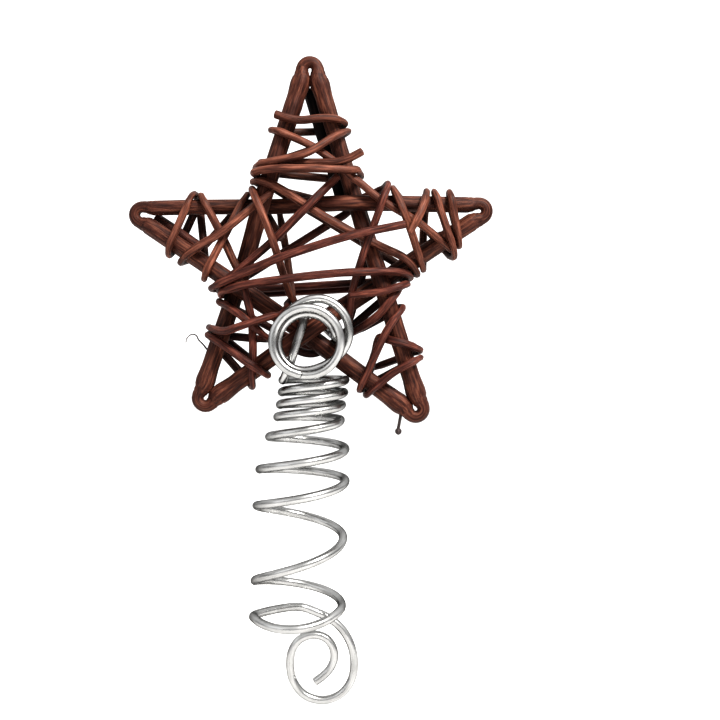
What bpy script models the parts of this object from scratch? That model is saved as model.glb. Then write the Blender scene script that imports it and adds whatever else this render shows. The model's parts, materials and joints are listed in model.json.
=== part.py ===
"""A star tree topper: a five-pointed star of bent and wrapped vine on a wire spring.

The star stands in the XZ plane and faces -Y. The spring hangs below it along Z, and the origin is
in the middle of the spring's lower mouth, where a tree's leading shoot goes in. Metres, +Z up.
"""
import math

import bpy
import numpy as np
from mathutils.kdtree import KDTree

MM = 0.001

# The star's frame: one thick vine bent round five tips, woven over and under itself
STAR_X = 3.3 * MM
STAR_Z = 99.7 * MM
TIPS = {  # how far each tip reaches from the star's middle, and in which direction
    "top": (54.8 * MM, 90.0),
    "right": (51.0 * MM, 16.1),
    "low_right": (52.8 * MM, -54.6),
    "low_left": (50.1 * MM, -127.0),
    "left": (50.2 * MM, 164.9),
}
TRAVEL = ("top", "low_left", "right", "left", "low_right")
FRAME_RADIUS = 2.4 * MM
TIP_RADIUS = 1.6 * MM
BEND_RADIUS = 2.2 * MM
TIP_TAPER = 3.6 * MM
SWELL_INWARDS = 0.9
FRAME_GAP = 0.3 * MM
FIRST_CROSSING = 0.382

# Two thinner lengths of vine that line the frame, and the vine that is wrapped round it
LINING_RADIUS = 1.5 * MM
VINE_RADIUS = 1.08 * MM
TURN_RADIUS = 0.85 * MM
WRAP_GAP = 0.38 * MM
PILE_SLACK = 0.6 * MM
PILE_WIDTH = 2.0
STUB_INSET = 1.5 * MM

# The sticks of the frame: first tip, second tip, radius, and how far the middle bows inwards
STICKS = {
    "A": ("top", "low_left", 2.4 * MM, 0.2 * MM),
    "B": ("top", "low_right", 2.4 * MM, 0.2 * MM),
    "C": ("left", "right", 2.1 * MM, -0.6 * MM),
    "D": ("left", "low_right", 2.4 * MM, 0.7 * MM),
    "E": ("right", "low_left", 2.4 * MM, 0.7 * MM),
}

# The wrapping vines, in the order in which they were wound. A turn is a stick, the way along it in
# mm and any slack in mm, where the vine goes round the stick's outer edge, or an x and z in mm from
# the star's middle, where it goes through the star. Between turns it crosses front and back by
# turns, over the places named on its way.
WRAPS = {
    "wrap_lower_left_inner": ("front", [(-17.6, -7.3), ("over", -16.5, -11.6),
        ("over", -15.4, -16.9), ("over", -15.1, -25.6), ("E", 81.6), (-27.4, -22.6)]),
    "wrap_top": ("front", [(-9.1, 39.2), ("over", -3.7, 37.3), ("over", 5.8, 39.0), ("B", 19.3),
        ("A", 21.6), ("over", 1.2, 30.4), ("over", 11.5, 22.8), ("over", 18.8, 16.0),
        ("over", 28.8, 10.6), ("E", 14.6), (36.0, 8.0)]),
    "wrap_right": ("back", [(41.0, 9.0), ("C", 87.0, 0.2), ("E", 12.4), ("C", 82.6, 0.5),
        ("E", 14.8), ("C", 71.2, 1.4), ("over", 27.6, 7.8), ("E", 24.2), ("C", 81.2),
        ("over", 30.3, 11.8), (27.2, 6.4)]),
    "wrap_left": ("front", [(-19.6, -3.2), ("over", -20.9, -0.6), ("over", -23.2, 4.6),
        ("over", -27.0, 12.4), ("C", 18.0), ("D", 14.8), ("C", 16.6), ("D", 27.0),
        ("over", -23.4, 5.4), ("C", 31.6, 0.7), ("D", 18.6), ("over", -29.1, 3.8), ("over", -24.8, 5.7),
        ("over", -15.7, 13.2), (-10.4, 17.8)]),
    "wrap_neck": ("front", [(14.4, 28.4), ("over", 9.0, 25.4), ("A", 31.8), ("B", 20.9),
        ("over", 3.7, 30.4), ("over", -0.6, 27.2), ("A", 33.2), ("B", 34.2), ("A", 34.6), ("E", 25.8),
        ("over", 27.4, 0.0), ("over", 20.6, 2.7), ("over", 12.8, 6.5), ("over", 2.1, 12.4),
        ("over", -6.3, 18.0), ("A", 36.0), (9.0, 15.6)]),
    "wrap_rise": ("front", [(7.7, 22.4), ("over", 0.4, 14.3),
        ("over", -8.2, 5.7), ("over", -17.0, -1.9), ("D", 31.6), (12.5, 15.6)]),
    "wrap_right_shoulder": ("back", [(8.0, 16.0), ("C", 70.4, 1.2), ("over", 19.0, 12.1),
        ("over", 15.5, 3.2), ("over", 11.7, -8.9), (10.4, -18.6), (16.6, 3.0)]),
    "wrap_left_shoulder": ("back", [(-8.0, 6.0), ("C", 32.6, 0.8), ("over", -12.5, 12.1),
        ("over", -9.5, 4.6), ("over", -6.8, -4.8), (-4.6, -13.0), (-9.0, 14.6)]),
    "wrap_lower_right": ("back", [(-9.5, -22.5), ("over", 1.0, -27.0), ("E", 31.6), ("over", 19.3, -15.6),
        (11.4, -20.4), ("B", 72.4), ("over", 21.4, -19.1), ("over", 17.4, -27.7), ("D", 79.4),
        ("B", 87.2, 1.0), ("over", 23.3, -30.7), ("D", 81.6), (18.6, -21.6), ("over", 26.0, -23.1),
        ("B", 85.6, 0.8), (16.4, -30.4)]),
    "wrap_lower_left": ("back", [(10.5, -21.0), ("over", 0.5, -25.0), ("A", 70.6), ("over", -17.8, -15.9),
        (-11.0, -22.2), ("A", 80.4), ("over", -22.3, -24.2), ("over", -16.0, -28.7),
        ("E", 75.9), ("A", 78.8), ("over", -23.2, -20.2), ("over", -18.4, -18.8),
        (-7.6, -15.1), (-6.0, -11.0)]),
    "wrap_middle": ("front", [(25.8, 8.6), ("over", 12.8, 5.9), ("over", 4.5, 3.5),
        ("over", -7.6, -0.5), ("over", -15.7, -3.8), ("D", 30.6), ("E", 28.0),
        ("over", 25.2, -3.5), ("over", 8.5, -4.3), ("over", -2.2, -5.4), ("over", -15.7, -7.3),
        ("D", 32.6), ("E", 30.2), ("over", 23.3, -8.9), (11.2, -10.2)]),
}

# Two lengths that line the frame: the stick, where the length starts and ends along it, how far
# inside the stick it lies and how far behind
LININGS = {
    "lining_top": ("B", 4.5, 36.0, 3.4, 2.4),
    "lining_left": ("D", 3.0, 18.0, 2.9, 3.2),
}

# The wire: its spring, from the top down, its ring in front of the star and its end curl
WIRE_RADIUS = 1.2 * MM
SPRING_TOP_Z = 66.5 * MM
SPRING_TOP_X = 4.5 * MM
SPRING_TOP_RADIUS = 8.7 * MM
SPRING_LOW_RADIUS = 12.1 * MM
SPRING_TIGHT_TURNS = 3.0
SPRING_FLARE_TURNS = 2.2
FRONT_FALLS = (3.4, 3.5, 3.4, 4.7, 5.7, 6.9, 11.9, 2.6)
BACK_FALLS = (0.0, 0.0, 0.0, 0.8, 3.3, 3.2, 8.9, 6.9)
LAST_TURN_SAG = 2.0 * MM
RING_TURNS = (  # angle in degrees, middle x and z from the star's middle, radius, way forward
    (12.0, -0.2, -23.1, 7.9, 8.0),
    (250.0, -0.2, -23.1, 7.9, 9.8),
    (325.0, 2.2, -20.1, 8.8, 10.6),
    (450.0, 2.2, -20.1, 8.8, 11.6),
    (540.0, -0.1, -22.9, 8.9, 12.3),
    (1000.0, -0.1, -22.9, 8.9, 15.7),
)
HOOK = (  # from the spring's top, up through the star and round behind it to the ring
    (-6.9, -32.9, 4.2), (-5.3, -29.4, 6.4), (-2.9, -22.3, 6.6), (-1.3, -17.0, 5.7),
    (-0.4, -14.8, 1.2), (0.6, -14.6, -3.4), (3.2, -17.6, -6.6), (6.0, -20.4, -5.6),
    (7.4, -21.3, -1.0), (7.7, -21.4, 4.0),
)
CURL = (  # across the back of the spring's last turn and round in a curl: x, z
    (-0.1, 0.6), (5.1, -1.1), (8.9, -3.0), (12.3, -6.2), (14.6, -10.4), (15.5, -15.5),
    (14.6, -20.7), (11.4, -24.7), (6.2, -26.3), (1.1, -24.7), (-2.2, -20.5), (-3.0, -15.5),
    (-2.3, -11.6), (-0.1, -8.7), (3.8, -7.4), (7.3, -8.4), (9.4, -11.2), (9.7, -14.4),
    (8.3, -17.5), (5.9, -19.8), (3.5, -21.5),
)

# Two stray ends: a hooked fibre at the lower left and a stalk with a bud at the lower right
FIBRE_RADIUS = 0.25 * MM
FIBRE_BEHIND = 4.4
FIBRE = ((-29.0, -24.9), (-30.2, -23.4), (-31.6, -21.9), (-32.2, -20.8), (-33.5, -20.5),
         (-34.8, -21.6), (-35.1, -22.8))
STALK_RADIUS = 0.45 * MM
STALK = ((25.0, -43.9), (24.8, -45.0), (24.5, -46.6))
BUD_RADIUS = 0.95 * MM

# How finely the paths are worked out and how coarsely the solids follow them
FINE_STEP = 1.0 * MM
VINE_TOLERANCE = 0.25 * MM
WIRE_TOLERANCE = 0.5 * MM
STATION_STEP = 3.5 * MM
END_INSET = 3.2 * MM
FRAME_STEPS = (90, 8)
LINING_POINTS = 7
HALF_TURN_STEPS = 8
RING_STEP = 22.5

# How the vines are drawn taut and pushed clear of each other
TAUT_ROUNDS = 60
GUIDE_PULL = 0.2
TURN_PULL = 0.8
LINING_PULL = 0.5
PRESS_REACH = 2.0 * MM
SETTLE_ROUNDS = 90
TAUTNESS = 0.35
HOME_SHARE = 0.5
PUSHES = 3
PAIRS_EVERY = 6
OWN_REACH = 6
LAST_ROUNDS = 24
LAST_TAUTNESS = 0.1

# How coarse the solids are
SOLID_FRAME_STEPS = (9, 4)
THICK_SIDES = 8
THIN_SIDES = 6
BUD_SEGMENTS = 10
BUD_RINGS = 6


def clear_scene():
    for item in list(bpy.data.objects):
        bpy.data.objects.remove(item)


def ease(t):
    t = min(1.0, max(0.0, t))
    return t * t * (3.0 - 2.0 * t)


def place(x, z, y=0.0):
    """A point from its place in mm beside and above the star's middle and in front of it."""
    return np.array((STAR_X + x * MM, -y * MM, STAR_Z + z * MM))


def tip_direction(name):
    angle = math.radians(TIPS[name][1])
    return np.array((math.cos(angle), 0.0, math.sin(angle)))


def bend_middle(name):
    reach = TIPS[name][0]
    return place(0.0, 0.0) + tip_direction(name) * (reach - BEND_RADIUS)


def stick_line(first, second):
    """A stick's start, direction, length and outward side, between the bends at its two tips."""
    start, end = bend_middle(first), bend_middle(second)
    length = np.linalg.norm(end - start)
    along = (end - start) / length
    outward = np.array((along[2], 0.0, -along[0]))
    if np.dot(outward, (start + end) / 2 - place(0.0, 0.0)) < 0.0:
        outward = -outward
    return start + outward * BEND_RADIUS, along, length, outward


def stick_between(first, second):
    return next(stick for stick in STICKS.values() if {first, second} == set(stick[:2]))


def on_stick(first, second, way):
    """The point that lies a way along a stick, its radius there and its outward side."""
    start, along, length, outward = stick_line(first, second)
    full, bow = stick_between(first, second)[2:]
    share = min(1.0, max(0.0, way / length))
    from_tip = min(share, 1.0 - share) * length / TIP_TAPER
    radius = TIP_RADIUS + (full - TIP_RADIUS) * ease(from_tip)
    follows = TRAVEL[TRAVEL.index(second) - 1] == first
    depth = np.array((0.0, weave(share if follows else 1.0 - share), 0.0))
    inwards = bow * math.sin(math.pi * share) + SWELL_INWARDS * (radius - TIP_RADIUS)
    return start + along * way - outward * inwards + depth, radius, outward


def weave(share):
    """How far behind the star's plane a stick is, at a share of the way along it."""
    depth = FRAME_RADIUS + FRAME_GAP / 2
    second = 1.0 - FIRST_CROSSING
    if share < FIRST_CROSSING:
        return -depth * ease(share / FIRST_CROSSING)
    if share > second:
        return depth * ease((1.0 - share) / FIRST_CROSSING)
    return depth * (2.0 * ease((share - FIRST_CROSSING) / (second - FIRST_CROSSING)) - 1.0)


def frame_path(stick_steps, bend_steps):
    """The closed line of the frame vine, and its radius at each point."""
    points, radii = [], []
    for k, first in enumerate(TRAVEL):
        second = TRAVEL[(k + 1) % len(TRAVEL)]
        third = TRAVEL[(k + 2) % len(TRAVEL)]
        length, outward = stick_line(first, second)[2:]
        for i in range(stick_steps):
            middle, radius, _ = on_stick(first, second, length * i / stick_steps)
            points.append(middle)
            radii.append(radius)
        next_outward = stick_line(second, third)[3]
        turn_start = math.atan2(outward[2], outward[0])
        turn = (math.atan2(next_outward[2], next_outward[0]) - turn_start) % (2.0 * math.pi)
        for i in range(bend_steps):
            angle = turn_start + turn * i / bend_steps
            side = np.array((math.cos(angle), 0.0, math.sin(angle)))
            points.append(bend_middle(second) + side * BEND_RADIUS)
            radii.append(TIP_RADIUS)
    return np.array(points), np.array(radii)


def smooth_line(points, step):
    """A smooth line through the points, with a point every step."""
    points = np.array(points)
    ends = np.vstack((2 * points[0] - points[1], points, 2 * points[-1] - points[-2]))
    fine = []
    for i in range(1, len(ends) - 2):
        p0, p1, p2, p3 = ends[i - 1:i + 3]
        k0, k1, k2 = (math.sqrt(np.linalg.norm(b - a)) + 1e-9
                      for a, b in ((p0, p1), (p1, p2), (p2, p3)))
        m1 = (p2 - p1) + k1 * ((p1 - p0) / k0 - (p2 - p0) / (k0 + k1))
        m2 = (p2 - p1) + k1 * ((p3 - p2) / k2 - (p3 - p1) / (k1 + k2))
        count = max(2, int(math.ceil(np.linalg.norm(p2 - p1) / (step / 4))))
        for t in np.linspace(0.0, 1.0, count, endpoint=False):
            fine.append((2 * t**3 - 3 * t**2 + 1) * p1 + (t**3 - 2 * t**2 + t) * m1
                        + (3 * t**2 - 2 * t**3) * p2 + (t**3 - t**2) * m2)
    fine.append(points[-1])
    return even_line(fine, step)


def even_line(points, step):
    points = np.array(points)
    run = np.concatenate(((0.0,), np.cumsum(np.linalg.norm(np.diff(points, axis=0), axis=1))))
    count = max(2, int(round(run[-1] / step)) + 1)
    marks = np.linspace(0.0, run[-1], count)
    return np.column_stack([np.interp(marks, run, points[:, k]) for k in range(3)])


def thin_out(points, tolerance):
    """Which points of a line are enough to keep it within the tolerance."""
    keep = {0, len(points) - 1}
    spans = [(0, len(points) - 1)]
    while spans:
        a, b = spans.pop()
        if b - a < 2:
            continue
        line = points[b] - points[a]
        length = np.linalg.norm(line) + 1e-12
        offsets = np.linalg.norm(np.cross(points[a + 1:b] - points[a], line / length), axis=1)
        worst = int(np.argmax(offsets))
        if offsets[worst] > tolerance:
            middle = a + 1 + worst
            keep.add(middle)
            spans += [(a, middle), (middle, b)]
    return sorted(keep)


def turn_place(turn, passed):
    """Where a wrap turns: its place outside the stick's edge, and the side that it faces."""
    if turn[0] not in STICKS:
        return place(*turn[-2:]), np.zeros(3)
    middle, tapered, outward = on_stick(*STICKS[turn[0]][:2], turn[1] * MM - BEND_RADIUS)
    clear = tapered + TURN_RADIUS + WRAP_GAP + sum(turn[2:]) * MM
    if any(stick == turn[0] and abs(mark - turn[1]) < PILE_WIDTH for stick, mark in passed):
        clear += PILE_SLACK
    passed.append(turn[:2])
    return middle + outward * clear, outward


def pass_height(a, b, side, laid, radius):
    """How far from the star's plane a new piece from a to b lies, to clear what is laid already."""
    height = 0.0
    line = b - a
    span = np.dot(line, line) + 1e-12
    for other, other_radii in laid:
        reach = radius + other_radii + WRAP_GAP
        share = np.clip(((other - a) @ line) / span, 0.0, 1.0)
        apart = np.linalg.norm((other - a - share[:, None] * line)[:, (0, 2)], axis=1)
        close = apart < reach
        if close.any():
            top = side * other[close, 1] + np.sqrt(reach[close]**2 - apart[close]**2)
            height = max(height, float(top.max()))
    return height


def pass_stations(guide, side, laid, radius):
    """Places along a new pass over its guide, drawn taut over what is laid already."""
    guide = even_line(guide, FINE_STEP)
    guide[:, 1] = 0.0
    inset = max(1, min(int(END_INSET / FINE_STEP), len(guide) // 4))
    stations = even_line(guide[inset:-inset], STATION_STEP)
    heights = [pass_height(a, b, side, laid, radius) for a, b in zip(stations[:-1], stations[1:])]
    lift = np.array([max(heights[max(k - 1, 0):k + 1]) for k in range(len(stations))])
    for _ in range(TAUT_ROUNDS):
        lift[1:-1] = np.maximum(lift[1:-1], (lift[:-2] + lift[2:]) / 2)
    stations[:, 1] = side * lift
    return stations


def wrap_route(first_side, turns, laid, passed, radius):
    """The first line of a wrapping vine, over and under the star from turn to turn."""
    side = -1.0 if first_side == "front" else 1.0
    places = [turn_place(turn, passed) for turn in turns]
    stops = [k for k, turn in enumerate(turns) if turn[0] != "over"]
    points, pull = [], []
    for start, end in zip(stops[:-1], stops[1:]):
        stations = pass_stations([p for p, _ in places[start:end + 1]], side, laid, radius)
        line = even_line(stations, FINE_STEP)
        laid.append((line, np.full(len(line), radius)))
        if start == 0:
            points.append(stub_end(*places[0], stations[0]))
            pull.append(1.0)
        points += list(stations)
        pull += [GUIDE_PULL] * len(stations)
        points.append(places[end][0] if end != stops[-1] else stub_end(*places[end], stations[-1]))
        pull.append(TURN_PULL)
        side = -side
    return points, pull


def stub_end(edge, outward, station):
    """Where a vine ends: level with its last station, and within the edge that it ends at."""
    return edge - outward * STUB_INSET + np.array((0.0, station[1], 0.0))


def settle(lines, radii, homes, pulls, fixed, fixed_radii):
    """Draws each line taut while it keeps clear of itself, of the others and of what is fixed."""
    counts = [len(line) for line in lines]
    starts = np.concatenate(((0,), np.cumsum(counts)))
    points = np.vstack(lines + [fixed])
    home = np.vstack(homes)
    pull = np.concatenate(pulls)[:, None]
    total = starts[-1]
    radius = np.concatenate(radii + [fixed_radii])
    owner = np.concatenate([np.full(n, k) for k, n in enumerate(counts)]
                           + [np.full(len(fixed), -1)])
    inner = np.ones(total, bool)
    inner[starts[:-1]] = False
    inner[starts[1:] - 1] = False
    index = np.where(inner)[0]
    flat = np.array((1.0, 0.0, 1.0))
    reach = 2.0 * FRAME_RADIUS + WRAP_GAP
    for step in range(SETTLE_ROUNDS):
        if step % PAIRS_EVERY == 0:
            pairs = close_pairs(points, total, owner, reach)
        middle = (points[index - 1] + points[index + 1]) / 2
        points[index] += TAUTNESS * (middle - points[index])
        points[:total] += flat * pull * HOME_SHARE * (home - points[:total])
        for _ in range(PUSHES):
            push_apart(points, pairs, radius, total)
    for _ in range(LAST_ROUNDS):
        middle = (points[index - 1] + points[index + 1]) / 2
        points[index] += LAST_TAUTNESS * (middle - points[index])
        push_apart(points, close_pairs(points, total, owner, reach), radius, total)
    return [points[a:b] for a, b in zip(starts[:-1], starts[1:])]


def close_pairs(points, total, owner, reach):
    tree = KDTree(len(points))
    for k, point in enumerate(points):
        tree.insert(point, k)
    tree.balance()
    pairs = []
    for k in range(total):
        for _, other, _ in tree.find_range(points[k], reach):
            same = owner[other] == owner[k]
            if other > k and not (same and other - k < OWN_REACH):
                pairs.append((k, other))
    return np.array(pairs)


def push_apart(points, pairs, radius, total):
    a, b = pairs[:, 0], pairs[:, 1]
    gap = points[a] - points[b]
    apart = np.linalg.norm(gap, axis=1) + 1e-12
    short = radius[a] + radius[b] + WRAP_GAP - apart
    hit = short > 0.0
    a, b = a[hit], b[hit]
    push = gap[hit] * (short[hit] / apart[hit])[:, None]
    free = (b < total)[:, None]
    moves = np.zeros_like(points)
    counts = np.zeros((len(points), 1))
    np.add.at(moves, a, np.where(free, push * 0.5, push))
    np.add.at(moves, b, np.where(free, -push * 0.5, 0.0))
    np.add.at(counts, a, 1.0)
    np.add.at(counts, b, 1.0)
    points += moves / np.maximum(counts, 1.0)


def lining_route(stick, start_way, end_way, inside, behind):
    points = []
    for way in np.linspace(start_way * MM, end_way * MM, LINING_POINTS):
        middle, _, outward = on_stick(*STICKS[stick][:2], way)
        points.append(middle - outward * inside * MM + np.array((0.0, behind * MM, 0.0)))
    return points


def vine_lines(wire):
    """The settled lines of the lining and the wrapping vines and their radii, by name."""
    frame, frame_radii = frame_path(*FRAME_STEPS)
    laid = [(frame, frame_radii)]
    passed, lines, radii, homes, pulls = [], [], [], [], []
    for name, lining in LININGS.items():
        line = smooth_line(lining_route(*lining), FINE_STEP)
        laid.append((line, np.full(len(line), LINING_RADIUS)))
        add_line(lines, homes, pulls, line, np.full(len(line), LINING_PULL))
        radii.append(np.full(len(line), LINING_RADIUS))
    for name, (first_side, turns) in WRAPS.items():
        points, pull = wrap_route(first_side, turns, laid, passed, VINE_RADIUS)
        line = smooth_line(points, FINE_STEP)
        nearest = [int(np.argmin(np.linalg.norm(np.array(points) - p, axis=1))) for p in line]
        line_pull = np.array([pull[k] for k in nearest])
        add_line(lines, homes, pulls, line, line_pull)
        radii.append(vine_radii(line_pull == TURN_PULL))
    fixed = np.vstack((frame, wire))
    fixed_radii = np.concatenate((frame_radii, np.full(len(wire), WIRE_RADIUS)))
    settled = settle(lines, radii, homes, pulls, fixed, fixed_radii)
    return dict(zip(list(LININGS) + list(WRAPS), zip(settled, radii)))


def vine_radii(turning):
    """A wrap's radius along it: the vine is pressed thinner where it turns round a stick."""
    reach = max(1, int(round(PRESS_REACH / FINE_STEP)))
    thin = np.convolve(np.pad(turning.astype(float), reach, "edge"),
                       np.ones(2 * reach + 1), "valid")
    thin = np.minimum(thin / reach, 1.0)
    return VINE_RADIUS + (TURN_RADIUS - VINE_RADIUS) * thin


def add_line(lines, homes, pulls, line, pull):
    lines.append(line)
    homes.append(line.copy())
    pulls.append(pull)


def spring_path():
    """The spring's line, from its top left, with its turns clockwise as seen from above."""
    levels, level = [SPRING_TOP_Z], SPRING_TOP_Z
    for back, front in zip(BACK_FALLS, FRONT_FALLS):
        for fall in (back, front):
            level -= fall * MM
            levels.append(level)
    halves = len(levels) - 1
    points = []
    for k in range(halves * HALF_TURN_STEPS + 1):
        half = k / HALF_TURN_STEPS
        angle = math.pi * (1.0 + half)
        turn = half / 2
        flare = ease((turn - SPRING_TIGHT_TURNS) / SPRING_FLARE_TURNS)
        radius = SPRING_TOP_RADIUS + (SPRING_LOW_RADIUS - SPRING_TOP_RADIUS) * flare
        axis = SPRING_TOP_X * (1.0 - ease(turn / (halves / 2)))
        z = np.interp(half, range(len(levels)), levels)
        if half > halves - 1:
            z -= LAST_TURN_SAG * math.sin(math.pi * half) ** 2
        points.append((axis + radius * math.cos(angle), -radius * math.sin(angle), z))
    return points


def ring_path():
    angles = [turn[0] for turn in RING_TURNS]
    points = []
    for angle in np.arange(angles[0], angles[-1] + 1.0, RING_STEP):
        x, z, radius, forward = (np.interp(angle, angles, [turn[k] for turn in RING_TURNS])
                                 for k in range(1, 5))
        a = math.radians(angle)
        points.append(place(x + radius * math.cos(a), z + radius * math.sin(a), forward))
    return points


def wire_path():
    """The whole wire: ring, hook round the star, spring and end curl."""
    hook = [place(*point) for point in HOOK]
    spring = spring_path()
    curl = [(x * MM, SPRING_LOW_RADIUS, z * MM) for x, z in CURL]
    return smooth_line(ring_path()[::-1] + hook[::-1] + spring + curl, FINE_STEP / 2)


def material(name, colour, roughness, metallic=0.0):
    made = bpy.data.materials.new(name)
    made.use_nodes = True
    shader = made.node_tree.nodes["Principled BSDF"]
    shader.inputs["Base Color"].default_value = (*colour, 1.0)
    shader.inputs["Roughness"].default_value = roughness
    shader.inputs["Metallic"].default_value = metallic
    return made


def tube(name, points, radii, sides, finish, collection, closed=False):
    """A round tube along the points, with flat ends unless it is closed."""
    curve = bpy.data.curves.new(name, "CURVE")
    curve.dimensions = "3D"
    curve.bevel_depth = 1.0
    curve.bevel_resolution = (sides - 4) // 2
    curve.use_fill_caps = not closed
    spline = curve.splines.new("POLY")
    spline.points.add(len(points) - 1)
    spline.use_cyclic_u = closed
    for knot, point, radius in zip(spline.points, points, radii):
        knot.co = (*point, 1.0)
        knot.radius = radius
    curve.materials.append(finish)
    item = bpy.data.objects.new(name, curve)
    collection.objects.link(item)
    return item


def ball(name, middle, radius, finish, collection):
    bpy.ops.mesh.primitive_uv_sphere_add(segments=BUD_SEGMENTS, ring_count=BUD_RINGS,
                                         radius=radius, location=middle)
    item = bpy.context.object
    item.name = name
    for holder in list(item.users_collection):
        holder.objects.unlink(item)
    collection.objects.link(item)
    item.data.materials.append(finish)
    item.data.shade_smooth()
    return item


def build_frame(finish, collection):
    points, radii = frame_path(*SOLID_FRAME_STEPS)
    tube("frame_vine", points, radii, THICK_SIDES, finish, collection, closed=True)


def build_vines(wire, frame_finish, wrap_finish, collection):
    for name, (line, radii) in vine_lines(wire).items():
        keep = thin_out(line, VINE_TOLERANCE)
        finish = frame_finish if name in LININGS else wrap_finish
        tube(name, line[keep], radii[keep], THIN_SIDES, finish, collection)


def build_wire(wire, finish, collection):
    points = wire[thin_out(wire, WIRE_TOLERANCE)]
    tube("spring_wire", points, [WIRE_RADIUS] * len(points), THICK_SIDES, finish, collection)


def build_stray_ends(fibre_finish, bud_finish, collection):
    fibre = [place(x, z, -FIBRE_BEHIND) for x, z in FIBRE]
    tube("stray_fibre", fibre, [FIBRE_RADIUS] * len(fibre), THIN_SIDES, fibre_finish, collection)
    stalk = [place(x, z) for x, z in STALK]
    tube("stalk", stalk, [STALK_RADIUS] * len(stalk), THIN_SIDES, bud_finish, collection)
    drop = np.array((0.0, 0.0, -BUD_RADIUS - FRAME_GAP))
    ball("bud", stalk[-1] + drop, BUD_RADIUS, bud_finish, collection)


def main():
    clear_scene()
    collection = bpy.data.collections.new("star_tree_topper")
    bpy.context.scene.collection.children.link(collection)
    frame_finish = material("frame vine", (0.10, 0.040, 0.022), 0.55)
    wrap_finish = material("wrapping vine", (0.15, 0.045, 0.028), 0.5)
    wire_finish = material("spring wire", (0.78, 0.78, 0.77), 0.3, metallic=1.0)
    fibre_finish = material("grey fibre", (0.25, 0.24, 0.24), 0.6)
    bud_finish = material("dark bud", (0.08, 0.07, 0.07), 0.6)
    wire = wire_path()
    build_frame(frame_finish, collection)
    build_vines(wire, frame_finish, wrap_finish, collection)
    build_wire(wire, wire_finish, collection)
    build_stray_ends(fibre_finish, bud_finish, collection)


main()
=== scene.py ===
"""The looks of the star tree topper: grained bark on every vine, bright wire and a soft studio.

The paths of the vines and of the wire are worked out as the solids' source does, from the same
named sizes, and are followed here by fine tubes with ridges, knots and trimmed ends. Metres.
"""
import json
import math

import bpy
import numpy as np
from mathutils.kdtree import KDTree
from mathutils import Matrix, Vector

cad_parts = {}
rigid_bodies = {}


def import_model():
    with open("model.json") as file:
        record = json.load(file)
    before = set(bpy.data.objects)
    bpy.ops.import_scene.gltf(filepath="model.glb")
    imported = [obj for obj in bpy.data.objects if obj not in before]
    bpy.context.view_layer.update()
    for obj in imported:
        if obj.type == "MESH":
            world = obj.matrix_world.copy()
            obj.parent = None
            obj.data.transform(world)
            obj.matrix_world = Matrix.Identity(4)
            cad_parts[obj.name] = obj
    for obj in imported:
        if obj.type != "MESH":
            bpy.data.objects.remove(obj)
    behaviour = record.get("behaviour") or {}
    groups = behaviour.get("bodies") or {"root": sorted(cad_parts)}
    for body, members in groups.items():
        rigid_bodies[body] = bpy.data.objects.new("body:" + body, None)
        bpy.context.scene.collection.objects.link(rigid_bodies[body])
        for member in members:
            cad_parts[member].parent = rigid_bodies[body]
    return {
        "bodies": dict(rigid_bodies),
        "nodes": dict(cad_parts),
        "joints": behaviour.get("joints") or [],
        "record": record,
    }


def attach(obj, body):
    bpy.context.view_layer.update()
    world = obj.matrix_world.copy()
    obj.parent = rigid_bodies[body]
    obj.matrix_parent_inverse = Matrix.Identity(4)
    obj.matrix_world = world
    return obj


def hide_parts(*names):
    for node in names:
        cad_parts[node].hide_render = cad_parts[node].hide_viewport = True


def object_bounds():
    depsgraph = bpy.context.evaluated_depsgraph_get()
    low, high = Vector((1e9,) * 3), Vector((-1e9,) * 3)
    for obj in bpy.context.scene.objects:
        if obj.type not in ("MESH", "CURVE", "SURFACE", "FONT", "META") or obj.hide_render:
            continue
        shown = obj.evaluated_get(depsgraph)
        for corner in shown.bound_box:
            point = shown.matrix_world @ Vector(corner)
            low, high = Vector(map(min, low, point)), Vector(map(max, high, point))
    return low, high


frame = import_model()
cad_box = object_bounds()

MM = 0.001

# The star's frame: one thick vine bent round five tips, woven over and under itself
STAR_X = 3.3 * MM
STAR_Z = 99.7 * MM
TIPS = {  # how far each tip reaches from the star's middle, and in which direction
    "top": (54.8 * MM, 90.0),
    "right": (51.0 * MM, 16.1),
    "low_right": (52.8 * MM, -54.6),
    "low_left": (50.1 * MM, -127.0),
    "left": (50.2 * MM, 164.9),
}
TRAVEL = ("top", "low_left", "right", "left", "low_right")
FRAME_RADIUS = 2.4 * MM
TIP_RADIUS = 1.6 * MM
BEND_RADIUS = 2.2 * MM
TIP_TAPER = 3.6 * MM
SWELL_INWARDS = 0.9
FRAME_GAP = 0.3 * MM
FIRST_CROSSING = 0.382

# Two thinner lengths of vine that line the frame, and the vine that is wrapped round it
LINING_RADIUS = 1.5 * MM
VINE_RADIUS = 1.08 * MM
TURN_RADIUS = 0.85 * MM
WRAP_GAP = 0.38 * MM
PILE_SLACK = 0.6 * MM
PILE_WIDTH = 2.0
STUB_INSET = 1.5 * MM

# The sticks of the frame: first tip, second tip, radius, and how far the middle bows inwards
STICKS = {
    "A": ("top", "low_left", 2.4 * MM, 0.2 * MM),
    "B": ("top", "low_right", 2.4 * MM, 0.2 * MM),
    "C": ("left", "right", 2.1 * MM, -0.6 * MM),
    "D": ("left", "low_right", 2.4 * MM, 0.7 * MM),
    "E": ("right", "low_left", 2.4 * MM, 0.7 * MM),
}

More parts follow.
